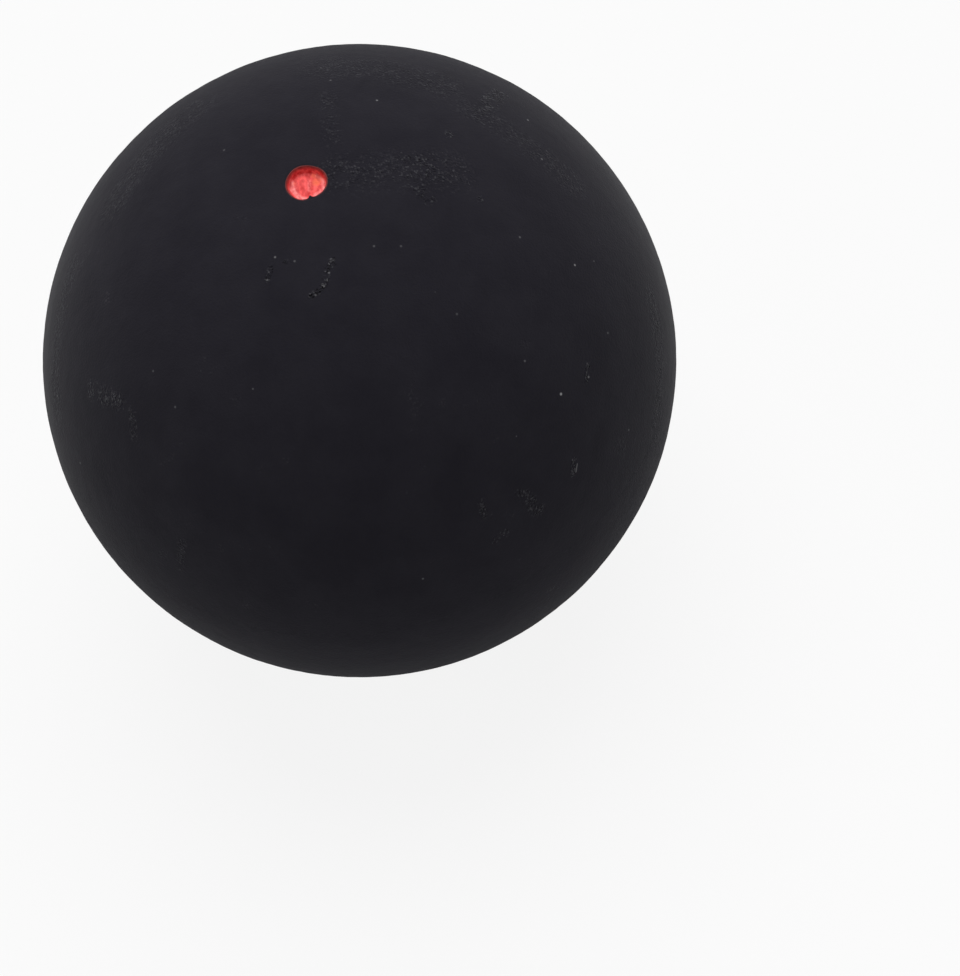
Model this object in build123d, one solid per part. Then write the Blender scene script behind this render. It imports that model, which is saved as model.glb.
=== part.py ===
from build123d import *
import math
import os

# Squash ball: a hollow rubber ball moulded as two half shells, which are cemented rim to rim,
# with one dot of paint in a moulded dimple. Sizes are in millimetres and degrees.
# The origin is the centre of the ball, +Z runs out through the dot, and the seam lies at Z = 0.

# Rubber shells
BALL_DIAMETER = 40.0
WALL = 5.2

# Cement between the rims, and the bead of it that is squeezed out inside
CEMENT_THICKNESS = 0.2
BEAD_WIDTH = 1.6
BEAD_HEIGHT = 0.4

# Dimple for the dot, measured at its mouth
DOT_DIAMETER = 2.6
DIMPLE_DEPTH = 0.6
DIMPLE_DRAFT = 20.0
LIP_RADIUS = 0.08
DIMPLE_CORNER_RADIUS = 0.15

# Coat of paint in the dimple
PAINT_THICKNESS = 0.1
PAINT_BELOW_LIP = 0.06
PAINT_CORNER_RADIUS = 0.25

# Sizes that follow from the ones above
OUTER_RADIUS = BALL_DIAMETER / 2
INNER_RADIUS = OUTER_RADIUS - WALL
RIM_HEIGHT = CEMENT_THICKNESS / 2
MOUTH_RADIUS = DOT_DIAMETER / 2
MOUTH_HEIGHT = math.sqrt(OUTER_RADIUS**2 - MOUTH_RADIUS**2)
DIMPLE_FLOOR = MOUTH_HEIGHT - DIMPLE_DEPTH
DRAFT_SLOPE = math.tan(math.radians(DIMPLE_DRAFT))


def band(low, high):
    """Region right of the axis between two heights, wide enough to hold the whole section."""
    return Pos(OUTER_RADIUS / 2, (low + high) / 2) * Rectangle(OUTER_RADIUS, high - low)


def wall_section(low, high):
    """Section of the ball's wall, between its two spheres, from one height to another."""
    return (Circle(OUTER_RADIUS) - Circle(INNER_RADIUS)) & band(low, high)


def tapered_pocket(mouth_radius, floor):
    """Section of a round pocket with drafted sides, which widens upwards past the top of the ball.

    mouth_radius is taken at the height of the dimple's mouth, and floor is the pocket's lowest height.
    """
    top = BALL_DIAMETER
    floor_radius = mouth_radius - (MOUTH_HEIGHT - floor) * DRAFT_SLOPE
    top_radius = mouth_radius + (top - MOUTH_HEIGHT) * DRAFT_SLOPE
    return make_face(
        Polyline((0, floor), (floor_radius, floor), (top_radius, top), (0, top), close=True)
    )


def round_corner(section, corner, radius):
    """The section with its vertex nearest to a given point rounded."""
    return fillet(section.vertices().sort_by_distance(corner)[0], radius)


def turn(section):
    """Solid of revolution about the ball's axis of a section drawn as (radius, height)."""
    return revolve(Plane.XZ * section, Axis.Z)


def dotted_section():
    """Section of the half shell that holds the dot: a quarter ring with a rounded dimple at its pole."""
    dimple = tapered_pocket(MOUTH_RADIUS, DIMPLE_FLOOR)
    section = wall_section(RIM_HEIGHT, OUTER_RADIUS) - dimple
    section = round_corner(section, (MOUTH_RADIUS, MOUTH_HEIGHT), LIP_RADIUS)
    floor_corner = (MOUTH_RADIUS - DIMPLE_DEPTH * DRAFT_SLOPE, DIMPLE_FLOOR)
    return round_corner(section, floor_corner, DIMPLE_CORNER_RADIUS)


def upper_half_shell():
    """Half shell above the seam, with the dimple at its pole."""
    return turn(dotted_section())


def lower_half_shell():
    """Plain half shell below the seam."""
    return turn(wall_section(-OUTER_RADIUS, -RIM_HEIGHT))


def seam_cement_ring():
    """Layer of cement between the flat rims, flush outside, with a rounded bead along the inside."""
    layer = wall_section(-RIM_HEIGHT, RIM_HEIGHT)
    half_width = BEAD_WIDTH / 2
    foot_radius = math.sqrt(INNER_RADIUS**2 - half_width**2)
    upper_foot = (foot_radius, half_width)
    lower_foot = (foot_radius, -half_width)
    bead = make_face(
        [
            ThreePointArc(upper_foot, (INNER_RADIUS - BEAD_HEIGHT, 0), lower_foot),
            ThreePointArc(lower_foot, (INNER_RADIUS, 0), upper_foot),
        ]
    )
    return turn(layer + bead)


def red_dot():
    """Cup of paint that lines the dimple's floor and sides and stops just below the lip."""
    dimple = wall_section(RIM_HEIGHT, OUTER_RADIUS) - dotted_section()
    paint_floor = DIMPLE_FLOOR + PAINT_THICKNESS
    side_thickness = PAINT_THICKNESS / math.cos(math.radians(DIMPLE_DRAFT))
    paint_mouth = MOUTH_RADIUS - side_thickness
    hollow = tapered_pocket(paint_mouth, paint_floor)
    hollow_corner = (paint_mouth - (MOUTH_HEIGHT - paint_floor) * DRAFT_SLOPE, paint_floor)
    hollow = round_corner(hollow, hollow_corner, PAINT_CORNER_RADIUS)
    filled = dimple & band(DIMPLE_FLOOR, MOUTH_HEIGHT - PAINT_BELOW_LIP)
    return turn(filled - hollow)


os.makedirs("parts", exist_ok=True)
for piece in (upper_half_shell, lower_half_shell, seam_cement_ring, red_dot):
    export_step(piece(), f"parts/{piece.__name__}.step")
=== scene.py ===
"""Squash ball: the surfaces, finishes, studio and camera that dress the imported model.

Lengths are in metres, and angles in degrees unless radians are named. The frame is the model's own: the
origin is the ball's centre, +Z runs out through the dot, and the seam between the half shells lies at Z = 0.
"""

import logging
import math
from dataclasses import dataclass
from enum import Enum

import bpy
import numpy as np
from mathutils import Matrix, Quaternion, Vector


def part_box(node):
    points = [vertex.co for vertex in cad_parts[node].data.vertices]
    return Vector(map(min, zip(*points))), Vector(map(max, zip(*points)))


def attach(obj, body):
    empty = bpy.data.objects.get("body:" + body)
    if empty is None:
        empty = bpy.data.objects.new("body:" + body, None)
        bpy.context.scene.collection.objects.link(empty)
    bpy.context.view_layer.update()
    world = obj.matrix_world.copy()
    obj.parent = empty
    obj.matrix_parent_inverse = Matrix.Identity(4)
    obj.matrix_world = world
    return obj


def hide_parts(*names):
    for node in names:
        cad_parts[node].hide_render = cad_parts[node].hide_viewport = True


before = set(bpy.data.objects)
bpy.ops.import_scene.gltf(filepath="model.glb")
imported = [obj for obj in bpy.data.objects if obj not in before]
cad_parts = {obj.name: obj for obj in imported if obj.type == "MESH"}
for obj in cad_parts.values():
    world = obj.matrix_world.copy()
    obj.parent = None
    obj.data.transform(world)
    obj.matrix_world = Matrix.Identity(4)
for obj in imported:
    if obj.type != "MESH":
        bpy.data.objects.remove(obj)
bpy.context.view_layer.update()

LOG = logging.getLogger("squash_ball")
MM = 0.001
BODY = "root"
SHARP_ANGLE = 50.0

Colour = tuple[float, float, float]
Pixel = tuple[float, float]


# Shapes

class Ends(Enum):
    """How a turned surface closes along its profile."""

    POLES = "the first and last rows are single points on the axis"
    LOOP = "the last row joins the first"


class Side(Enum):
    """Which half of the ball a shell is: the sign of its heights."""

    UPPER = 1
    LOWER = -1


def smooth_step(share: np.ndarray) -> np.ndarray:
    """Rise from 0 to 1 with level ends: 3 t^2 - 2 t^3, where t is the share held between 0 and 1."""
    held = np.clip(share, 0.0, 1.0)
    return held * held * (3.0 - 2.0 * held)


def full_turn(columns: int) -> np.ndarray:
    """Even turn angles all the way round, in radians."""
    return np.linspace(0.0, 2.0 * np.pi, columns, endpoint=False)


def turned_points(radii: np.ndarray, heights: np.ndarray, turns: np.ndarray) -> np.ndarray:
    """Points of a surface turned about Z: (r cos a, r sin a, z) for each profile row and turn angle.

    Args:
        radii: distance from the axis, one for each row and angle, or one column for a round surface.
        heights: height, shaped like radii.
        turns: turn angles in radians.

    Returns:
        An array of rows by angles by 3.
    """
    across = np.broadcast_to(radii, (len(radii), len(turns)))
    up = np.broadcast_to(heights, across.shape)
    return np.stack([across * np.cos(turns), across * np.sin(turns), up], axis=-1)


def turned_mesh(name: str, points: np.ndarray, ends: Ends) -> bpy.types.Object:
    """Object whose faces join each point of a turned grid to its neighbours, all the way round.

    Args:
        name: the piece's name.
        points: rows by angles by 3, with rows in the order that makes faces point outwards.
        ends: how the rows close.

    Returns:
        The linked object, smooth except along sharp edges.
    """
    rows, columns, _ = points.shape
    here = np.arange(columns)
    after = np.roll(here, -1)
    caps: list[list[int]] = []
    if ends is Ends.POLES:
        rings = rows - 2
        vertices = np.concatenate([points[:1, 0], points[1:-1].reshape(-1, 3), points[-1:, 0]])
        first = 1 + columns * np.arange(rings - 1)[:, None]
        second = first + columns
        last = 1 + columns * (rings - 1)
        top = np.stack([np.zeros_like(here), 1 + here, 1 + after], axis=-1)
        bottom = np.stack([last + here, np.full_like(here, last + columns), last + after], axis=-1)
        caps = np.concatenate([top, bottom]).tolist()
    else:
        vertices = points.reshape(-1, 3)
        first = columns * np.arange(rows)[:, None]
        second = np.roll(first, -1, axis=0)
    quads = np.stack([first + here, second + here, second + after, first + after], axis=-1)
    mesh = bpy.data.meshes.new(name)
    mesh.from_pydata(vertices, [], quads.reshape(-1, 4).tolist() + caps)
    mesh.shade_smooth()
    mesh.set_sharp_from_angle(angle=math.radians(SHARP_ANGLE))
    piece = bpy.data.objects.new(name, mesh)
    bpy.context.scene.collection.objects.link(piece)
    return piece


@dataclass(frozen=True)
class Relief:
    """Fine unevenness of a surface: a sum of plane waves through space, with no seam and no pole."""

    depth: float
    shortest: float
    longest: float
    seed: int
    waves: int = 72

    def at(self, points: np.ndarray) -> np.ndarray:
        """Depth of the unevenness at points in space.

        Each wave is sin(2 pi direction . point / length + phase). Directions are spread evenly over a sphere,
        and lengths evenly in their logarithm. The sum over its usual size is squeezed into 0 to depth.

        Args:
            points: places in space, with 3 as the last dimension.

        Returns:
            Depths between 0 and the relief's full depth.
        """
        draw = np.random.default_rng(self.seed)
        directions = draw.normal(size=(self.waves, 3))
        directions /= np.linalg.norm(directions, axis=1, keepdims=True)
        lengths = self.shortest * (self.longest / self.shortest) ** draw.random(self.waves)
        phases = draw.uniform(0.0, 2.0 * np.pi, self.waves)
        turns = points @ (2.0 * np.pi * directions / lengths[:, None]).T + phases
        usual = math.sqrt(self.waves / 2.0)
        return self.depth * (0.5 + 0.5 * np.tanh(np.sin(turns).sum(axis=-1) / usual))


@dataclass(frozen=True)
class BallSizes:
    """Sizes that the pieces share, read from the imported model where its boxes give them."""

    radius: float
    rim: float
    bead_half_width: float
    dimple_floor: float
    wall: float = 5.2 * MM
    bead_height: float = 0.4 * MM

    @classmethod
    def from_frame(cls) -> "BallSizes":
        """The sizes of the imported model."""
        return cls(
            radius=-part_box("lower_half_shell")[0].z,
            rim=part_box("upper_half_shell")[0].z,
            bead_half_width=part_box("seam_cement_ring")[1].z,
            dimple_floor=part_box("red_dot")[0].z,
        )

    @property
    def inner_radius(self) -> float:
        """Radius of the hollow."""
        return self.radius - self.wall


@dataclass(frozen=True)
class Nick:
    """A crumb of rubber that stands in from the dimple's lip, at a turn and of a width in radians."""

    turn: float
    depth: float = 0.2 * MM
    width: float = 0.11

    def at(self, turns: np.ndarray) -> np.ndarray:
        """How far the lip steps in at each turn: depth times exp(-(angle from the nick / width)^2)."""
        away = np.angle(np.exp(1j * (turns - self.turn)))
        return self.depth * np.exp(-((away / self.width) ** 2))


@dataclass(frozen=True)
class Lip:
    """The dimple's lip, which departs from round by waves of (count, share, phase) and by a nick."""

    nick: Nick
    radius: float = 1.3 * MM
    waves: tuple[tuple[int, float, float], ...] = ((2, 0.015, 0.74), (3, 0.02, 0.73), (5, 0.01, -2.39))

    @property
    def spread(self) -> float:
        """The most that the waves add to the mean radius or take from it."""
        return self.radius * sum(share for _, share, _ in self.waves)

    def at(self, turns: np.ndarray) -> np.ndarray:
        """Radius at each turn: the mean times 1 plus each share cos(count turn + phase), less the nick."""
        waves = sum(share * np.cos(count * turns + phase) for count, share, phase in self.waves)
        return self.radius * (1.0 + waves) - self.nick.at(turns)


@dataclass(frozen=True)
class Dimple:
    """The moulded dimple at the pole that holds the dot, whose lip rolls over before the wall falls."""

    depth: float
    lip: Lip
    wall_run: float = 0.22 * MM
    roll_radius: float = 1.4 * MM
    roll_run: float = 0.12 * MM
    roll_depth: float = 0.03 * MM
    wall_coat: float = 0.35

    def rows(self, floor_rows: int, wall_rows: int) -> np.ndarray:
        """Distances from the pole to past the lip, close together across the wall.

        Args:
            floor_rows: how many lie on the floor.
            wall_rows: how many lie on the wall and the lip.

        Returns:
            Rising distances, from 0.
        """
        foot = self.lip.radius - self.lip.spread - self.lip.nick.depth - self.wall_run
        floor = np.linspace(0.0, foot, floor_rows, endpoint=False)
        return np.concatenate([floor, np.linspace(foot, self.roll_radius, wall_rows)])

    def depth_at(self, reach: np.ndarray, turns: np.ndarray, coat: np.ndarray | float) -> np.ndarray:
        """Depth below the ball by two smooth steps: a slight one that rolls over, then one down the wall.

        Args:
            reach: distance from the pole along the surface, one column.
            turns: turn angles in radians.
            coat: thickness of a coat on the floor, a share of which lies on the wall.

        Returns:
            Depths for each distance and angle.
        """
        roll = smooth_step((self.roll_radius - reach) / self.roll_run)
        wall = smooth_step((self.lip.at(turns) - self.wall_coat * coat - reach) / self.wall_run)
        return self.roll_depth * roll + (self.depth - self.roll_depth - coat) * wall


@dataclass(frozen=True)
class RubberSkin:
    """The ball's outer surface: a sphere, less a fine relief and, on the upper side, less the dimple."""

    radius: float
    relief: tuple[Relief, ...]
    dimple: Dimple

    def points(self, polar: np.ndarray, turns: np.ndarray, side: Side,
               under: np.ndarray | float = 0.0, coat: np.ndarray | float = 0.0) -> np.ndarray:
        """Points of the surface in spherical angles: the radius from the centre, less what is taken away.

        Args:
            polar: angles from the side's pole in radians, one column.
            turns: turn angles about the pole in radians.
            side: whose pole the angles start from.
            under: how far the points lie under the surface.
            coat: thickness of a coat in the dimple.

        Returns:
            An array of rows by columns by 3.
        """
        level = turned_points(self.radius * np.sin(polar), side.value * self.radius * np.cos(polar), turns)
        sunk = sum(relief.at(level) for relief in self.relief) + under
        if side is Side.UPPER:
            sunk = sunk + self.dimple.depth_at(self.radius * polar, turns, coat)
        return level * (1.0 - sunk / self.radius)[..., None]


@dataclass(frozen=True)
class HalfShell:
    """One moulded half of the ball: an outer and an inner sphere, joined by the flat rim."""

    side: Side
    sizes: BallSizes
    skin: RubberSkin
    columns: int = 480
    outer_rows: int = 118
    inner_rows: int = 26
    rim_rows: int = 3
    floor_rows: int = 6
    wall_rows: int = 38

    @property
    def node(self) -> str:
        """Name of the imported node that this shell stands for."""
        return f"{self.side.name.lower()}_half_shell"

    def outer_angles(self) -> np.ndarray:
        """Polar angles of the outer rows, which lie closest together across the dimple's wall.

        Returns:
            Rising angles in radians, from the pole to the rim.
        """
        rim_angle = math.acos(self.sizes.rim / self.sizes.radius)
        if self.side is Side.LOWER:
            return np.linspace(0.0, rim_angle, self.outer_rows)
        dimple = self.skin.dimple.rows(self.floor_rows, self.wall_rows) / self.sizes.radius
        return np.concatenate([dimple[:-1], np.linspace(dimple[-1], rim_angle, self.outer_rows)])

    def points(self) -> np.ndarray:
        """Grid of the whole shell: the skin from its pole to the rim, the rim, and the hollow's plain sphere.

        Returns:
            An array of rows by columns by 3.
        """
        sizes, sign = self.sizes, self.side.value
        turns = sign * full_turn(self.columns)
        outer = self.skin.points(self.outer_angles()[:, None], turns, self.side)
        inner_rim_angle = math.acos(sizes.rim / sizes.inner_radius)
        inner_polar = np.linspace(inner_rim_angle, 0.0, self.inner_rows)[:, None]
        inner_across = sizes.inner_radius * np.sin(inner_polar)
        inner = turned_points(inner_across, sign * sizes.inner_radius * np.cos(inner_polar), turns)
        shares = np.linspace(0.0, 1.0, self.rim_rows + 1, endpoint=False)[1:, None, None]
        rim = outer[-1:] * (1.0 - shares) + inner[:1] * shares
        return np.concatenate([outer, rim, inner])

    def build(self, finish: bpy.types.Material) -> bpy.types.Object:
        """Make the shell and dress it in the rubber."""
        piece = turned_mesh(f"{self.side.name.lower()}_shell", self.points(), Ends.POLES)
        return dressed(piece, finish, self.node)


@dataclass(frozen=True)
class CementRing:
    """The cured cement between the rims: a thin band, all but flush outside, with a bead along the inside."""

    sizes: BallSizes
    skin: RubberSkin
    recess: float = 0.004 * MM
    columns: int = 480
    face_rows: int = 5
    bead_rows: int = 11

    def points(self) -> np.ndarray:
        """Grid of the ring: down the outer face, in along the lower rim, round the bead and out again.

        The outer face follows the skin. The bead stands in from the hollow's wall by a squared cosine of the
        share of its width.

        Returns:
            An array of rows by columns by 3.
        """
        sizes = self.sizes
        turns = full_turn(self.columns)
        face_polar = np.arccos(np.linspace(sizes.rim, -sizes.rim, self.face_rows) / sizes.radius)[:, None]
        face = self.skin.points(face_polar, turns, Side.UPPER, self.recess)
        share = np.linspace(-1.0, 1.0, self.bead_rows)[:, None]
        bead_heights = share * sizes.bead_half_width
        wall = np.sqrt(sizes.inner_radius**2 - bead_heights**2)
        bead = turned_points(wall - sizes.bead_height * np.cos(share * np.pi / 2.0) ** 2, bead_heights, turns)
        foot = np.full((1, 1), sizes.inner_radius)
        lower_foot = turned_points(foot, np.full((1, 1), -sizes.rim), turns)
        upper_foot = turned_points(foot, np.full((1, 1), sizes.rim), turns)
        return np.concatenate([face, lower_foot, bead, upper_foot])

    def build(self, finish: bpy.types.Material) -> bpy.types.Object:
        """Make the ring and dress it in the cement."""
        piece = turned_mesh("seam_cement", self.points(), Ends.LOOP)
        return dressed(piece, finish, "seam_cement_ring")


@dataclass(frozen=True)
class PaintDot:
    """The coat of paint that lines the dimple up to its lip, with an uneven skin."""

    skin: RubberSkin
    lumps: Relief
    thickness: float = 0.1 * MM
    pool: float = 0.8
    feather: float = 0.06 * MM
    key_depth: float = 0.01 * MM
    columns: int = 300
    floor_rows: int = 40
    wall_rows: int = 30

    def points(self) -> np.ndarray:
        """Grid of the paint, from the middle of its top over the edge to the middle of its underside.

        The top stands off the dimple's floor and wall by a coat, which is uneven by the lumps and pools
        towards the wall by the fourth power of the distance from the pole. By the lip a smooth step brings it
        just under the rubber. The underside is keyed into the rubber.

        Returns:
            An array of rows by columns by 3.
        """
        skin, dimple = self.skin, self.skin.dimple
        turns = full_turn(self.columns)
        reach = dimple.rows(self.floor_rows, self.wall_rows)[:, None]
        polar = reach / skin.radius
        covered = smooth_step((dimple.lip.at(turns) - reach) / self.feather)
        pooled = self.thickness * (1.0 + self.pool * (reach / dimple.lip.radius) ** 4)
        coat = pooled - self.lumps.at(skin.points(polar, turns, Side.UPPER))
        top = skin.points(polar, turns, Side.UPPER, (1.0 - covered) * self.key_depth, coat)
        under = skin.points(polar[::-1], turns, Side.UPPER, 2.0 * self.key_depth)
        return np.concatenate([top, under])

    def build(self, finish: bpy.types.Material) -> bpy.types.Object:
        """Make the dot and dress it in the paint."""
        piece = turned_mesh("dot_paint", self.points(), Ends.POLES)
        return dressed(piece, finish, "red_dot")


def dressed(piece: bpy.types.Object, finish: bpy.types.Material, node: str) -> bpy.types.Object:
    """Give a piece its finish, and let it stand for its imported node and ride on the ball.

    Args:
        piece: the new piece.
        finish: its material.
        node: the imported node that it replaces.

    Returns:
        The same piece.
    """
    piece.data.materials.append(finish)
    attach(piece, BODY)
    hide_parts(node)
    return piece


# Finishes

class NodeBoard:
    """One node tree, with a short way to add nodes and link them."""

    def __init__(self, tree: bpy.types.NodeTree) -> None:
        """Take the tree and clear it."""
        self.tree = tree
        self.tree.nodes.clear()

    def add(self, kind: str, inputs: dict[str | int, object] | None = None,
            **settings: object) -> bpy.types.Node:
        """Add a node.

        Args:
            kind: the node's type.
            inputs: a value or another node's output for each input socket, by name or place.
            settings: values for the node's own properties.

        Returns:
            The new node.
        """
        node = self.tree.nodes.new(kind)
        for name, value in settings.items():
            setattr(node, name, value)
        self.feed(node, inputs or {})
        return node

    def feed(self, node: bpy.types.Node, inputs: dict[str | int, object]) -> None:
        """Give inputs of a node their values or links.

        Args:
            node: the node.
            inputs: a value or another node's output for each input socket, by name or place.
        """
        for name, value in inputs.items():
            if isinstance(value, bpy.types.NodeSocket):
                self.tree.links.new(value, node.inputs[name])
            else:
                node.inputs[name].default_value = value

    def math(self, operation: str, *values: object) -> bpy.types.NodeSocket:
        """Output of a Math node, whose inputs are given in order."""
        return self.add("ShaderNodeMath", dict(enumerate(values)), operation=operation).outputs[0]

    def vector(self, operation: str, first: object, second: object) -> bpy.types.NodeSocket:
        """Output of a Vector Math node of two vectors: a number where the operation gives one."""
        node = self.add("ShaderNodeVectorMath", {0: first, 1: second}, operation=operation)
        return node.outputs["Value" if operation in ("DOT_PRODUCT", "DISTANCE") else "Vector"]

    def scale(self, vector: object, factor: object) -> bpy.types.NodeSocket:
        """Output of a Vector Math node that multiplies a vector by a number."""
        inputs = {0: vector, "Scale": factor}
        return self.add("ShaderNodeVectorMath", inputs, operation="SCALE").outputs["Vector"]

    def ramp(self, value: object, low: float, high: float, out_low: float = 0.0, out_high: float = 1.0,
             smooth: bool = True) -> bpy.types.NodeSocket:
        """Output of a Map Range node, held between its ends.

        Args:
            value: the input.
            low: the input that gives out_low.
            high: the input that gives out_high.
            out_low: output at the low end.
            out_high: output at the high end.
            smooth: whether the rise has level ends.

        Returns:
            The value socket.
        """
        inputs = {"Value": value, "From Min": low, "From Max": high, "To Min": out_low, "To Max": out_high}
        kind = "SMOOTHSTEP" if smooth else "LINEAR"
        return self.add("ShaderNodeMapRange", inputs, interpolation_type=kind).outputs["Result"]

    def bump(self, height: object, distance: float, **under: object) -> bpy.types.NodeSocket:
        """Normal of a Bump node, on the one under it if any; distance is the length of a height of 1."""
        inputs = {"Height": height, "Distance": distance, **under}
        return self.add("ShaderNodeBump", inputs).outputs["Normal"]

    def blend(self, share: object, first: object, second: object) -> bpy.types.NodeSocket:
        """Output of a colour Mix node, which takes a share of the second colour."""
        inputs = {"Factor": share, 6: first, 7: second}
        return self.add("ShaderNodeMix", inputs, data_type="RGBA").outputs[2]


def opaque(colour: Colour) -> tuple[float, float, float, float]:
    """The colour with full alpha, as colour sockets take it."""
    return (*colour, 1.0)


WHITE = opaque((1.0, 1.0, 1.0))


class EffectGroup:
    """A shader node group with named sockets, which several finishes place with their own values."""

    def __init__(self, name: str, inputs: dict[str, str], outputs: dict[str, str]) -> None:
        """Make the group's tree and sockets.

        Args:
            name: the group's name.
            inputs: socket type for each input.
            outputs: socket type for each output.
        """
        self.tree = bpy.data.node_groups.new(name, "ShaderNodeTree")
        self.board = NodeBoard(self.tree)
        for in_out, sockets in (("INPUT", inputs), ("OUTPUT", outputs)):
            for socket, kind in sockets.items():
                self.tree.interface.new_socket(name=socket, in_out=in_out, socket_type=kind)
        self.source = self.board.add("NodeGroupInput")
        self.drain = self.board.add("NodeGroupOutput")

    def give(self, **outputs: bpy.types.NodeSocket) -> None:
        """Link sockets to the group's outputs by name."""
        self.board.feed(self.drain, outputs)

    def place(self, board: NodeBoard, **inputs: object) -> bpy.types.Node:
        """Place the group in a material's tree, with a value or a socket for each of its inputs."""
        return board.add("ShaderNodeGroup", inputs, node_tree=self.tree)


FLOAT = "NodeSocketFloat"
VECTOR = "NodeSocketVector"


class Effects:
    """The effects that the finishes share."""

    GRAIN_DETAIL = 2.0
    CLOUD_DETAIL = 4.0
    NOISE_ROUGHNESS = 0.55
    NOISE_MIDDLE = 0.5
    CLOUD_RANGE = (0.3, 0.7)
    CROOK_SCALE = 0.7
    SPOT_RANGE = (0.6, 0.25)
    WEAKEST_SPOT = 0.3
    PIT_SHARE = 0.5
    RIDGE_WIDTH = 0.12
    MARK_CORE = 0.2

    def __init__(self) -> None:
        """Build each group once."""
        self.grain = self.make_grain()
        self.scuffs = self.make_scuffs()
        self.clouds = self.make_clouds()
        self.lint = self.make_lint()
        self.mark = self.make_mark()

    @staticmethod
    def steps(group: EffectGroup, size: str = "Size") -> bpy.types.NodeSocket:
        """A group's place counted in steps of its size: place divided by size."""
        source = group.source.outputs
        return group.board.scale(source["Place"], group.board.math("DIVIDE", 1.0, source[size]))

    def noise(self, board: NodeBoard, place: object, detail: float) -> bpy.types.NodeSocket:
        """Value of a noise whose coarsest lumps are about one step of the place across."""
        inputs = {"Vector": place, "Scale": 1.0, "Detail": detail, "Roughness": self.NOISE_ROUGHNESS}
        return board.add("ShaderNodeTexNoise", inputs).outputs["Fac"]

    def make_grain(self) -> EffectGroup:
        """Buffed grain, a fine even noise.

        Returns:
            The group.
        """
        group = EffectGroup("buffed_grain", {"Place": VECTOR, "Size": FLOAT}, {"Height": FLOAT})
        board = group.board
        place = self.steps(group)
        group.give(Height=self.noise(board, place, self.GRAIN_DETAIL))
        return group

    def make_scuffs(self) -> EffectGroup:
        """Torn rubber: crooked cells, each a pit or a crumb as strong as drawn, among fine ridges.

        Returns:
            The group.
        """
        outputs = {"Pits": FLOAT, "Crumbs": FLOAT, "Ridges": FLOAT}
        group = EffectGroup("scuffs", {"Place": VECTOR, "Size": FLOAT}, outputs)
        board = group.board
        place = self.steps(group)
        noise = board.add("ShaderNodeTexNoise", {"Vector": place, "Scale": self.CROOK_SCALE, "Detail": 1.0})
        crooked = board.vector("ADD", place, noise.outputs["Color"])
        cells = board.add("ShaderNodeTexVoronoi", {"Vector": crooked, "Scale": 1.0})
        draws = board.add("ShaderNodeSeparateColor", {"Color": cells.outputs["Color"]}).outputs
        strength = board.ramp(draws[1], 0.0, 1.0, self.WEAKEST_SPOT, 1.0, smooth=False)
        spots = board.math("MULTIPLY", board.ramp(cells.outputs["Distance"], *self.SPOT_RANGE), strength)
        pits = board.math("MULTIPLY", spots, board.math("LESS_THAN", draws[0], self.PIT_SHARE))
        crumbs = board.math("SUBTRACT", spots, pits)
        off_middle = board.math("ABSOLUTE", board.math("SUBTRACT", noise.outputs["Fac"], self.NOISE_MIDDLE))
        group.give(Pits=pits, Crumbs=crumbs, Ridges=board.ramp(off_middle, self.RIDGE_WIDTH, 0.0))
        return group

    def make_clouds(self) -> EffectGroup:
        """Soft clouds, a value from 0 to 1 that drifts over the surface.

        Returns:
            The group.
        """
        group = EffectGroup("clouds", {"Place": VECTOR, "Size": FLOAT}, {"Value": FLOAT})
        board = group.board
        place = self.steps(group)
        group.give(Value=board.ramp(self.noise(board, place, self.CLOUD_DETAIL), *self.CLOUD_RANGE))
        return group

    def make_lint(self) -> EffectGroup:
        """Sparse pale lint: a small dot in the cells that a random draw keeps.

        Returns:
            The group.
        """
        inputs = {"Place": VECTOR, "Spacing": FLOAT, "Share": FLOAT, "Dot": FLOAT}
        group = EffectGroup("lint", inputs, {"Mask": FLOAT})
        board = group.board
        source = group.source.outputs
        place = self.steps(group, "Spacing")
        cells = board.add("ShaderNodeTexVoronoi", {"Vector": place, "Scale": 1.0})
        draw = board.add("ShaderNodeSeparateColor", {"Color": cells.outputs["Color"]}).outputs[0]
        kept = board.math("LESS_THAN", draw, source["Share"])
        dot = board.ramp(cells.outputs["Distance"], source["Dot"], 0.0)
        group.give(Mask=board.math("MULTIPLY", kept, dot))
        return group

    def make_mark(self) -> EffectGroup:
        """One mark at a given place, drawn out along a given vector and fading out across its width.

        Returns:
            The group.
        """
        inputs = {"Place": VECTOR, "Centre": VECTOR, "Along": VECTOR, "Width": FLOAT}
        group = EffectGroup("mark", inputs, {"Mask": FLOAT})
        board = group.board
        source = group.source.outputs
        away = board.vector("SUBTRACT", source["Place"], source["Centre"])
        span = board.vector("DOT_PRODUCT", source["Along"], source["Along"])
        share = board.math("DIVIDE", board.vector("DOT_PRODUCT", away, source["Along"]), span)
        held = board.math("MINIMUM", board.math("MAXIMUM", share, -1.0), 1.0)
        gap = board.vector("DISTANCE", away, board.scale(source["Along"], held))
        group.give(Mask=board.ramp(board.math("DIVIDE", gap, source["Width"]), 1.0, self.MARK_CORE))
        return group


@dataclass(frozen=True)
class Mark:
    """A mark in its place: its middle, half its length as a vector, half its width and its strength."""

    centre: Vector
    along: Vector
    width: float
    strength: float

    def place(self, effects: Effects, board: NodeBoard, place: bpy.types.NodeSocket) -> bpy.types.NodeSocket:
        """Place the mark in a material's tree, at its coordinates, and return the mask."""
        mark = effects.mark.place(board, Place=place, Centre=self.centre, Along=self.along, Width=self.width)
        return board.math("MULTIPLY", mark.outputs["Mask"], self.strength)


# Levels of gloss and sheen that the rubber and the cement share
MATT_LEVELS = {"Specular IOR Level": 0.02, "Sheen Weight": 0.08, "Sheen Roughness": 0.44}


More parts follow.
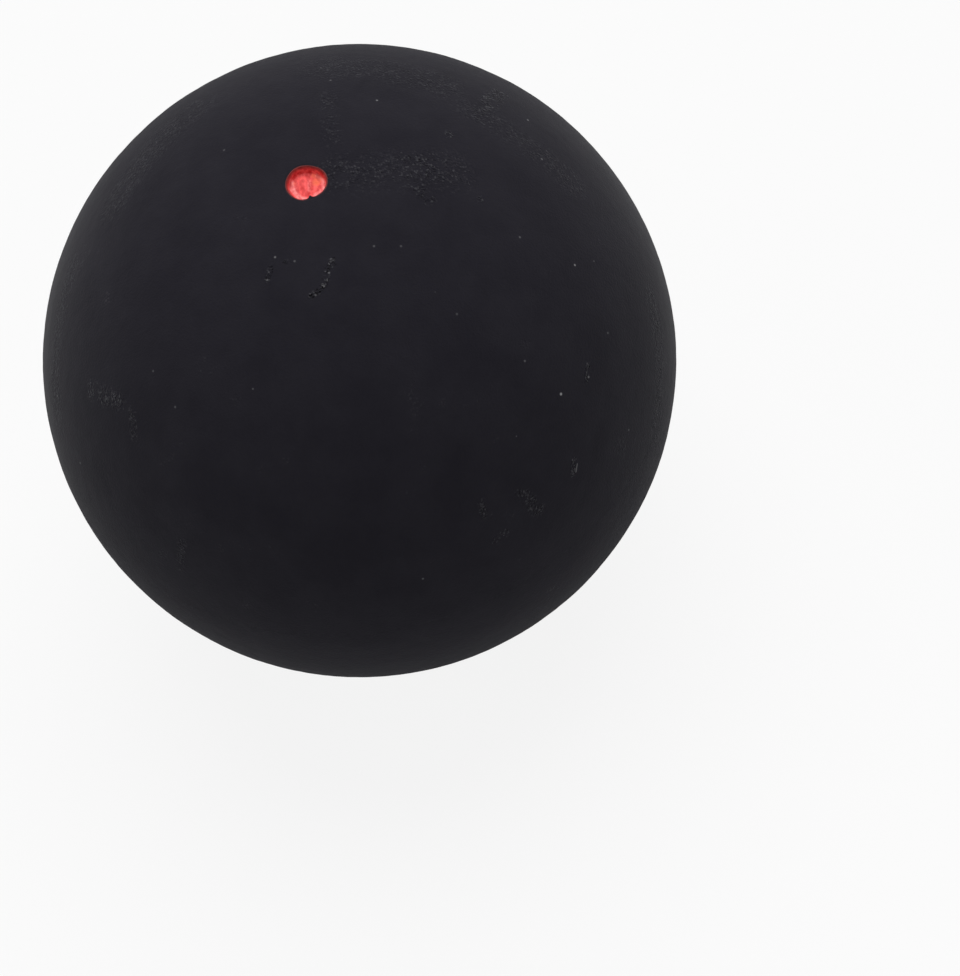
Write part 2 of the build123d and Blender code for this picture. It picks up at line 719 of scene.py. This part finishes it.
@dataclass(frozen=True)
class BuffedRubber:
    """Matt black rubber, buffed to an even nap, with scuffs of pits in painted shade and crumbs, and a little
    lint.
    """

    name: str = "buffed_rubber"
    dark: Colour = (0.0140, 0.0132, 0.0180)
    pale: Colour = (0.0187, 0.0178, 0.0232)
    # Painted shade in the pits: darker than the rubber
    pit_shade_colour: Colour = (0.0040, 0.0037, 0.0055)
    crumb_colour: Colour = (0.12, 0.12, 0.13)
    lint_colour: Colour = (0.30, 0.30, 0.31)
    grain_size: float = 0.15 * MM
    grain_depth: float = 0.025 * MM
    scuff_size: float = 0.17 * MM
    scuff_depth: float = 0.08 * MM
    pit_shade_gain: float = 1.8
    tear_size: float = 0.6 * MM
    bloom_size: float = 3.2 * MM
    roughness: tuple[float, float] = (0.86, 0.94)
    lint_spacing: float = 1.1 * MM
    lint_share: float = 0.025
    lint_dot: float = 0.07
    stray_lint: float = 0.4
    stray_wear: float = 0.12
    stray_bloom: float = 0.94
    tear_range: tuple[float, float] = (0.1, 0.5)
    tone_range: tuple[float, float] = (0.3, 1.7)

    def build(self, effects: Effects, worn_marks: list[Mark], lint_marks: list[Mark]) -> bpy.types.Material:
        """Make the material.

        Args:
            effects: the shared effects.
            worn_marks: the worn patches with a place of their own.
            lint_marks: the lint with a place of its own.

        Returns:
            The material.
        """
        material, board, shader = new_material(self.name)
        place = board.add("ShaderNodeTexCoord").outputs["Object"]
        grain = effects.grain.place(board, Place=place, Size=self.grain_size).outputs["Height"]
        bloom = effects.clouds.place(board, Place=place, Size=self.bloom_size).outputs["Value"]
        scuffs = effects.scuffs.place(board, Place=place, Size=self.scuff_size).outputs
        torn = effects.clouds.place(board, Place=place, Size=self.tear_size).outputs["Value"]
        worn = board.ramp(bloom, self.stray_bloom, 1.0, 0.0, self.stray_wear)
        for mark in worn_marks:
            worn = board.math("MAXIMUM", worn, mark.place(effects, board, place))
        worn = board.math("MULTIPLY", worn, board.ramp(torn, *self.tear_range))
        pits = board.math("MULTIPLY", scuffs["Pits"], worn)
        crumbs = board.math("MULTIPLY", scuffs["Crumbs"], worn)
        lint = effects.lint.place(
            board, Place=place, Spacing=self.lint_spacing, Share=self.lint_share, Dot=self.lint_dot
        ).outputs["Mask"]
        lint = board.math("MULTIPLY", lint, self.stray_lint)
        for mark in lint_marks:
            lint = board.math("MAXIMUM", lint, mark.place(effects, board, place))
        tone = board.ramp(board.math("ADD", grain, bloom), *self.tone_range, smooth=False)
        colour = board.blend(tone, opaque(self.dark), opaque(self.pale))
        # Pits blended towards the pit colour: painted shade, on top of their dent in the bump
        colour = board.blend(board.math("MULTIPLY", pits, self.pit_shade_gain), colour, opaque(self.pit_shade_colour))
        colour = board.blend(crumbs, colour, opaque(self.crumb_colour))
        colour = board.blend(lint, colour, opaque(self.lint_colour))
        roughness = board.ramp(bloom, 0.0, 1.0, *self.roughness)
        nap = board.bump(grain, self.grain_depth)
        ridges = board.math("MULTIPLY", scuffs["Ridges"], worn)
        torn_height = board.math("ADD", board.math("SUBTRACT", crumbs, pits), ridges)
        normal = board.bump(torn_height, self.scuff_depth, Normal=nap)
        board.feed(shader, {"Base Color": colour, "Roughness": roughness, "Normal": normal, **MATT_LEVELS})
        return material


@dataclass(frozen=True)
class CuredCement:
    """Cured rubber cement: close to the rubber in colour, with a coarser grain."""

    name: str = "cured_cement"
    dark: Colour = (0.0133, 0.0125, 0.0172)
    pale: Colour = (0.0196, 0.0187, 0.0241)
    grain_size: float = 0.22 * MM
    grain_depth: float = 0.03 * MM
    cloud_size: float = 2.0 * MM
    tone_range: tuple[float, float] = (0.3, 0.7)
    roughness: tuple[float, float] = (0.84, 0.92)

    def build(self, effects: Effects) -> bpy.types.Material:
        """Make the material.

        Args:
            effects: the shared effects.

        Returns:
            The material.
        """
        material, board, shader = new_material(self.name)
        place = board.add("ShaderNodeTexCoord").outputs["Object"]
        grain = effects.grain.place(board, Place=place, Size=self.grain_size).outputs["Height"]
        clouds = effects.clouds.place(board, Place=place, Size=self.cloud_size).outputs["Value"]
        tone = board.ramp(grain, *self.tone_range, smooth=False)
        colour = board.blend(tone, opaque(self.dark), opaque(self.pale))
        roughness = board.ramp(clouds, 0.0, 1.0, *self.roughness)
        normal = board.bump(grain, self.grain_depth)
        board.feed(shader, {"Base Color": colour, "Roughness": roughness, "Normal": normal, **MATT_LEVELS})
        return material


@dataclass(frozen=True)
class DotPaint:
    """Red paint laid on by hand: streaked and warm in places, with painted highlights, and darker to the lip,
    where it thins and where painted shade falls.
    """

    deep_marks: list[Mark]
    warm_marks: list[Mark]
    highlight_marks: list[Mark]
    thin_and_shade_heights: tuple[float, float]
    name: str = "dot_paint"
    deep: Colour = (0.55, 0.020, 0.022)
    bright: Colour = (0.91, 0.115, 0.110)
    warm: Colour = (0.83, 0.140, 0.070)
    # Painted highlight: the pale tint, laid on by the highlight marks
    pale: Colour = (0.95, 0.320, 0.310)
    # Darker red up the wall to the lip: partly thinner paint over the rubber, partly painted shade of the lip
    thin_and_shade: Colour = (0.090, 0.010, 0.009)
    stroke_turn: float = 20.0
    stroke_width: float = 0.26 * MM
    stroke_length: float = 0.5 * MM
    ragged_range: tuple[float, float] = (0.1, 0.7)
    ragged_least: float = 0.4
    grain_size: float = 0.12 * MM
    grain_depth: float = 0.008 * MM
    roughness: tuple[float, float] = (0.46, 0.62)
    specular: float = 0.2

    def build(self, effects: Effects) -> bpy.types.Material:
        """Make the material.

        Args:
            effects: the shared effects.

        Returns:
            The material.
        """
        material, board, shader = new_material(self.name)
        place = board.add("ShaderNodeTexCoord").outputs["Object"]
        turned = board.add(
            "ShaderNodeMapping",
            {
                "Vector": place,
                "Rotation": (0.0, 0.0, math.radians(self.stroke_turn)),
                "Scale": (1.0, self.stroke_width / self.stroke_length, 1.0),
            },
        ).outputs[0]
        strokes = effects.clouds.place(board, Place=turned, Size=self.stroke_width).outputs["Value"]
        grain = effects.grain.place(board, Place=place, Size=self.grain_size).outputs["Height"]
        colour = board.blend(strokes, opaque(self.deep), opaque(self.bright))
        ragged = board.ramp(strokes, *self.ragged_range, self.ragged_least, 1.0)
        # The deep and warm tints are the paint's own; the pale tint is painted highlight
        tints = ((self.deep_marks, self.deep), (self.warm_marks, self.warm), (self.highlight_marks, self.pale))
        for marks, tint in tints:
            for mark in marks:
                share = board.math("MULTIPLY", mark.place(effects, board, place), ragged)
                colour = board.blend(share, colour, opaque(tint))
        # Darker towards the lip by height: partly thinner paint, partly painted shade of the lip
        height = board.add("ShaderNodeSeparateXYZ", {"Vector": place}).outputs["Z"]
        thinned_and_shaded = board.ramp(height, *self.thin_and_shade_heights, smooth=False)
        colour = board.blend(thinned_and_shaded, colour, opaque(self.thin_and_shade))
        roughness = board.ramp(strokes, 0.0, 1.0, *self.roughness)
        normal = board.bump(board.math("ADD", grain, strokes), self.grain_depth)
        board.feed(shader, {"Base Color": colour, "Roughness": roughness, "Normal": normal})
        board.feed(shader, {"Specular IOR Level": self.specular})
        return material


def new_material(name: str) -> tuple[bpy.types.Material, NodeBoard, bpy.types.Node]:
    """A material with an empty tree, its Principled shader and its output.

    Args:
        name: the material's name.

    Returns:
        The material, its board and its shader.
    """
    material = bpy.data.materials.new(name)
    material.use_nodes = True
    board = NodeBoard(material.node_tree)
    shader = board.add("ShaderNodeBsdfPrincipled")
    board.add("ShaderNodeOutputMaterial", {"Surface": shader.outputs["BSDF"]})
    return material, board, shader


# Camera and studio

@dataclass(frozen=True)
class PhotoCamera:
    """Camera at the photograph's viewing angle, worked out from where the ball and its dot lie in it."""

    radius: float
    picture: tuple[int, int] = (960, 976)
    ball_centre: Pixel = (359.97, 361.09)
    ball_radius: float = 316.71
    dot_centre: Pixel = (306.05, 181.89)
    lens: float = 200.0
    sensor: float = 36.0

    @property
    def focal(self) -> float:
        """Focal length in pixels: the sensor's width spans the picture's longer side."""
        return self.lens / self.sensor * max(self.picture)

    @property
    def distance(self) -> float:
        """Distance from the ball's centre at which its outline has the measured radius."""
        return self.radius * math.hypot(1.0, self.focal / self.ball_radius)

    @property
    def dot_offset(self) -> Vector:
        """The dot's place from the ball's centre in the picture, in pixels, with up positive."""
        return Vector((self.dot_centre[0] - self.ball_centre[0], self.ball_centre[1] - self.dot_centre[1]))

    @property
    def tilt(self) -> float:
        """Angle between the line of sight and +Z at which the pole lands on the dot.

        Returns:
            The angle in radians.
        """
        slope = self.dot_offset.length / self.focal
        lean = slope * self.distance / self.radius / math.hypot(1.0, slope)
        return math.asin(lean) - math.atan(slope)

    @property
    def place(self) -> Vector:
        """The camera's place, in front of the ball and above it."""
        return self.distance * Vector((0.0, -math.sin(self.tilt), math.cos(self.tilt)))

    @property
    def rotation(self) -> Quaternion:
        """Look at the ball, roll until the dot leans as in the picture, then turn the ball off the middle.

        Returns:
            The camera's turn.
        """
        look = (-self.place).to_track_quat("-Z", "Y")
        roll = Quaternion((0.0, 0.0, 1.0), math.atan2(self.dot_offset.x, self.dot_offset.y))
        aim = self.ray(self.ball_centre).rotation_difference(Vector((0.0, 0.0, -1.0)))
        return look @ roll @ aim

    def ray(self, pixel: Pixel) -> Vector:
        """Direction of a pixel in the camera's own axes.

        Args:
            pixel: place in the picture, from its upper left corner.

        Returns:
            A unit vector.
        """
        across = pixel[0] - self.picture[0] / 2.0
        up = self.picture[1] / 2.0 - pixel[1]
        return Vector((across, up, -self.focal)).normalized()

    def on_ball(self, pixel: Pixel, sunk: float = 0.0) -> Vector:
        """Point of the ball's near side that a pixel shows.

        Args:
            pixel: place in the picture, inside the ball's outline.
            sunk: how far the point lies below the ball's surface.

        Returns:
            The nearer of the two points where the line of sight meets the sphere of that depth.
        """
        sight = self.rotation @ self.ray(pixel)
        nearest = -self.place.dot(sight)
        half_chord = math.sqrt(nearest**2 - self.place.length_squared + (self.radius - sunk) ** 2)
        return self.place + sight * (nearest - half_chord)

    def build(self) -> None:
        """Make the camera and set it as the scene's."""
        data = bpy.data.cameras.new("photo_camera")
        data.lens = self.lens
        data.sensor_width = self.sensor
        data.clip_start = self.radius
        camera = bpy.data.objects.new("photo_camera", data)
        camera.location = self.place
        camera.rotation_mode = "QUATERNION"
        camera.rotation_quaternion = self.rotation
        bpy.context.scene.collection.objects.link(camera)
        bpy.context.scene.camera = camera


@dataclass(frozen=True)
class Lamp:
    """One broad, distant studio light."""

    name: str
    azimuth: float
    elevation: float
    strength: float
    breadth: float

    def build(self) -> None:
        """Make the lamp, shining at the origin from its azimuth and elevation."""
        data = bpy.data.lights.new(self.name, "SUN")
        data.energy = self.strength
        data.angle = math.radians(self.breadth)
        lamp = bpy.data.objects.new(self.name, data)
        around, up = math.radians(self.azimuth), math.radians(self.elevation)
        towards = Vector((math.sin(around) * math.cos(up), -math.cos(around) * math.cos(up), math.sin(up)))
        lamp.rotation_mode = "QUATERNION"
        lamp.rotation_quaternion = towards.to_track_quat("Z", "Y")
        bpy.context.scene.collection.objects.link(lamp)


@dataclass(frozen=True)
class Studio:
    """Pale sweep under and around the ball, broad lamps and an even surround."""

    floor_height: float
    sweep_colour: Colour = (0.63, 0.63, 0.63)
    plain_white: float = 0.88
    flat_radius: float = 1.2
    sweep_radius: float = 2.8
    sweep_rise: float = 0.7
    thickness: float = 0.012
    rows: int = 40
    columns: int = 96
    surround: float = 0.24
    lamps: tuple[Lamp, ...] = (
        Lamp("top_lamp", azimuth=161.0, elevation=62.0, strength=3.0, breadth=60.0),
        Lamp("left_lamp", azimuth=258.0, elevation=24.0, strength=0.35, breadth=40.0),
    )

    def build(self) -> None:
        """Make the sweep, the lamps and the surround."""
        self.build_sweep()
        for lamp in self.lamps:
            lamp.build()
        world = bpy.data.worlds.new("studio")
        world.use_nodes = True
        board = NodeBoard(world.node_tree)
        light = board.add("ShaderNodeBackground", {"Color": WHITE, "Strength": self.surround})
        board.add("ShaderNodeOutputWorld", {"Surface": light.outputs[0]})
        bpy.context.scene.world = world

    def build_sweep(self) -> None:
        """Make the floor, a disc that is flat in the middle and curves up by a smooth step to its edge."""
        radii = self.sweep_radius * np.linspace(0.0, 1.0, self.rows)[:, None]
        rise = smooth_step((radii - self.flat_radius) / (self.sweep_radius - self.flat_radius))
        turns = full_turn(self.columns)
        heights = self.floor_height + self.sweep_rise * rise
        top = turned_points(radii, heights, turns)
        under = turned_points(radii[::-1], heights[::-1] - self.thickness, turns)
        floor = turned_mesh("studio_sweep", np.concatenate([top, under]), Ends.POLES)
        floor.data.materials.append(self.paper())

    def paper(self) -> bpy.types.Material:
        """Matt white paper, part of whose white the camera and reflections see without shade.

        Returns:
            The material.
        """
        material, board, shader = new_material("studio_paper")
        matt = {"Base Color": opaque(self.sweep_colour), "Roughness": 1.0, "Specular IOR Level": 0.0}
        board.feed(shader, matt)
        path = board.add("ShaderNodeLightPath").outputs
        mirrored = board.math("MAXIMUM", path["Is Glossy Ray"], path["Is Transmission Ray"])
        seen = board.math("MAXIMUM", path["Is Camera Ray"], mirrored)
        white = board.add("ShaderNodeEmission", {"Color": WHITE, "Strength": 1.0})
        share = board.math("MULTIPLY", seen, self.plain_white)
        mixed = board.add("ShaderNodeMixShader", {0: share, 1: shader.outputs["BSDF"], 2: white.outputs[0]})
        output = next(node for node in board.tree.nodes if node.type == "OUTPUT_MATERIAL")
        board.feed(output, {"Surface": mixed.outputs[0]})
        return material


# Assembly

SHORTEST_MARK = 0.01 * MM
LINT_WIDTH = 0.1 * MM


@dataclass(frozen=True)
class SeenMark:
    """A mark as the picture shows it: its two ends, half its width and its strength."""

    first: Pixel
    last: Pixel
    width: float
    strength: float = 1.0

    def on(self, camera: PhotoCamera, sunk: float = 0.0) -> Mark:
        """The mark on the ball.

        Args:
            camera: finds the point of the ball under a pixel.
            sunk: how far the mark lies below the ball's surface.

        Returns:
            The mark in the ball's own frame.
        """
        first, last = camera.on_ball(self.first, sunk), camera.on_ball(self.last, sunk)
        along = (last - first) / 2.0
        if along.length < SHORTEST_MARK:
            along = Vector((0.0, 0.0, SHORTEST_MARK))
        return Mark((first + last) / 2.0, along, self.width, self.strength)


def round_mark(pixel: Pixel, width: float, strength: float = 1.0) -> SeenMark:
    """A round mark about one pixel."""
    return SeenMark(pixel, pixel, width, strength)


def speck(pixel: Pixel, strength: float) -> SeenMark:
    """A speck of lint of the usual size about one pixel."""
    return round_mark(pixel, LINT_WIDTH, strength)


def marks_on(camera: PhotoCamera, seen: tuple[SeenMark, ...], sunk: float = 0.0) -> list[Mark]:
    """The marks on the ball, or on a surface sunk below it."""
    return [mark.on(camera, sunk) for mark in seen]


LINT = (
    round_mark((561.0, 394.0), 0.12 * MM),
    SeenMark((577.5, 464.0), (576.0, 472.0), 0.06 * MM, 0.4),
    speck((589.0, 377.0), 0.5),
    speck((575.0, 265.0), 0.7),
    speck((520.0, 237.0), 0.3),
    speck((542.0, 159.0), 0.45),
    speck((528.0, 120.0), 0.5),
    speck((525.0, 361.0), 0.3),
    speck((608.0, 333.0), 0.25),
    speck((629.0, 430.0), 0.25),
    speck((457.0, 314.0), 0.2),
    speck((401.0, 246.0), 0.2),
    speck((377.0, 100.0), 0.6),
    speck((423.0, 579.0), 0.35),
    speck((224.0, 150.0), 0.25),
    speck((275.0, 257.0), 0.4),
    speck((294.5, 261.0), 0.25),
    speck((267.0, 280.0), 0.3),
    speck((329.0, 272.5), 0.35),
    speck((324.0, 286.0), 0.45),
    speck((315.5, 295.0), 0.3),
    speck((374.0, 246.0), 0.25),
    speck((330.5, 80.0), 0.3),
    speck((484.0, 96.0), 0.3),
    speck((175.0, 407.0), 0.25),
    speck((153.0, 371.0), 0.2),
    speck((80.0, 463.0), 0.3),
    speck((57.0, 396.0), 0.4),
)
WORN = (
    SeenMark((333.0, 260.0), (323.0, 286.0), 0.32 * MM),
    SeenMark((320.0, 290.0), (311.0, 296.0), 0.28 * MM),
    SeenMark((271.0, 268.0), (267.0, 280.0), 0.28 * MM, 0.6),
    round_mark((286.0, 261.0), 0.3 * MM, 0.7),
    SeenMark((340.0, 172.0), (452.0, 172.0), 2.2 * MM, 0.25),
    SeenMark((404.0, 158.0), (436.0, 166.0), 0.8 * MM, 0.4),
    SeenMark((410.0, 178.0), (428.0, 198.0), 0.7 * MM, 0.4),
    SeenMark((428.0, 176.0), (450.0, 178.0), 0.6 * MM, 0.4),
    round_mark((449.0, 134.0), 0.45 * MM, 0.5),
    round_mark((480.0, 199.0), 0.35 * MM, 0.5),
    SeenMark((500.0, 92.0), (478.0, 116.0), 0.9 * MM, 0.4),
    SeenMark((92.0, 390.0), (118.0, 402.0), 0.9 * MM, 0.45),
    SeenMark((132.0, 412.0), (134.0, 436.0), 0.5 * MM, 0.4),
    SeenMark((522.0, 494.0), (538.0, 510.0), 0.7 * MM, 0.5),
    SeenMark((482.0, 502.0), (484.0, 516.0), 0.4 * MM, 0.4),
    SeenMark((588.0, 366.0), (587.0, 380.0), 0.28 * MM, 0.9),
    SeenMark((574.0, 460.0), (573.0, 474.0), 0.28 * MM, 0.9),
    SeenMark((496.0, 540.0), (506.0, 532.0), 0.5 * MM, 0.3),
    SeenMark((182.0, 540.0), (180.0, 568.0), 0.5 * MM, 0.3),
    SeenMark((116.0, 200.0), (196.0, 108.0), 2.4 * MM, 0.25),
    SeenMark((330.0, 66.0), (440.0, 84.0), 2.6 * MM, 0.25),
    SeenMark((328.0, 96.0), (332.0, 140.0), 0.9 * MM, 0.2),
    SeenMark((470.0, 110.0), (570.0, 180.0), 1.8 * MM, 0.2),
    SeenMark((58.0, 420.0), (72.0, 270.0), 1.6 * MM, 0.25),
    SeenMark((652.0, 300.0), (656.0, 430.0), 1.4 * MM, 0.25),
)
DIMPLE_NICK: Pixel = (310.5, 198.0)
# Share of the dot's depth where the darker red begins up the wall: thinner paint and painted shade
THIN_AND_SHADE_START = 0.6
DEEP_PAINT = (
    SeenMark((313.0, 177.0), (312.0, 187.0), 0.16 * MM, 0.45),
    round_mark((297.5, 190.0), 0.2 * MM, 0.6),
    SeenMark((303.5, 186.0), (302.5, 194.0), 0.12 * MM, 0.5),
    SeenMark((308.5, 190.0), (306.5, 195.0), 0.12 * MM, 0.5),
    SeenMark((301.5, 181.0), (299.0, 186.0), 0.14 * MM, 0.35),
)
WARM_PAINT = (
    round_mark((316.5, 182.0), 0.4 * MM),
    SeenMark((313.0, 175.5), (323.0, 180.0), 0.22 * MM, 0.7),
    round_mark((294.0, 184.0), 0.2 * MM, 0.6),
)
# Painted highlights on the paint, mostly along its lower edge
PAINTED_HIGHLIGHTS = (
    SeenMark((289.0, 181.0), (292.0, 189.0), 0.34 * MM, 0.75),
    SeenMark((293.0, 190.0), (298.5, 196.0), 0.22 * MM, 0.85),
    SeenMark((298.5, 197.0), (306.0, 199.0), 0.2 * MM, 0.75),
    SeenMark((315.0, 195.0), (325.0, 188.0), 0.2 * MM, 0.75),
    SeenMark((317.0, 175.5), (325.0, 181.0), 0.18 * MM, 0.4),
    SeenMark((324.5, 181.0), (324.0, 187.0), 0.28 * MM, 0.6),
    SeenMark((309.0, 181.0), (309.0, 190.0), 0.16 * MM, 0.35),
)


def main() -> None:
    """Build the ball's pieces, the studio and the camera in order."""
    logging.basicConfig(level=logging.INFO)
    bpy.context.scene.view_settings.view_transform = "Standard"
    sizes = BallSizes.from_frame()
    camera = PhotoCamera(sizes.radius)
    effects = Effects()
    rubber = BuffedRubber().build(effects, marks_on(camera, WORN), marks_on(camera, LINT))
    relief = (
        Relief(depth=0.012 * MM, shortest=0.6 * MM, longest=1.4 * MM, seed=11),
        Relief(depth=0.02 * MM, shortest=3.0 * MM, longest=8.0 * MM, seed=12),
    )
    nick = camera.on_ball(DIMPLE_NICK)
    dimple = Dimple(sizes.radius - sizes.dimple_floor, Lip(Nick(math.atan2(nick.y, nick.x))))
    skin = RubberSkin(sizes.radius, relief, dimple)
    dot = PaintDot(skin, Relief(depth=0.04 * MM, shortest=0.35 * MM, longest=0.9 * MM, seed=13))
    sunk = dimple.depth - dot.thickness
    lip_height = sizes.radius * math.cos(dimple.lip.radius / sizes.radius) - dimple.roll_depth
    paint = DotPaint(
        deep_marks=marks_on(camera, DEEP_PAINT, sunk),
        warm_marks=marks_on(camera, WARM_PAINT, sunk),
        highlight_marks=marks_on(camera, PAINTED_HIGHLIGHTS, sunk),
        thin_and_shade_heights=(sizes.radius - THIN_AND_SHADE_START * sunk, lip_height),
    )
    pieces = [
        HalfShell(Side.UPPER, sizes, skin).build(rubber),
        HalfShell(Side.LOWER, sizes, skin).build(rubber),
        CementRing(sizes, skin).build(CuredCement().build(effects)),
        dot.build(paint.build(effects)),
    ]
    for piece in pieces:
        LOG.info("%s: %d faces", piece.name, len(piece.data.polygons))
    Studio(floor_height=-sizes.radius).build()
    camera.build()


if __name__ == "__main__":
    main()
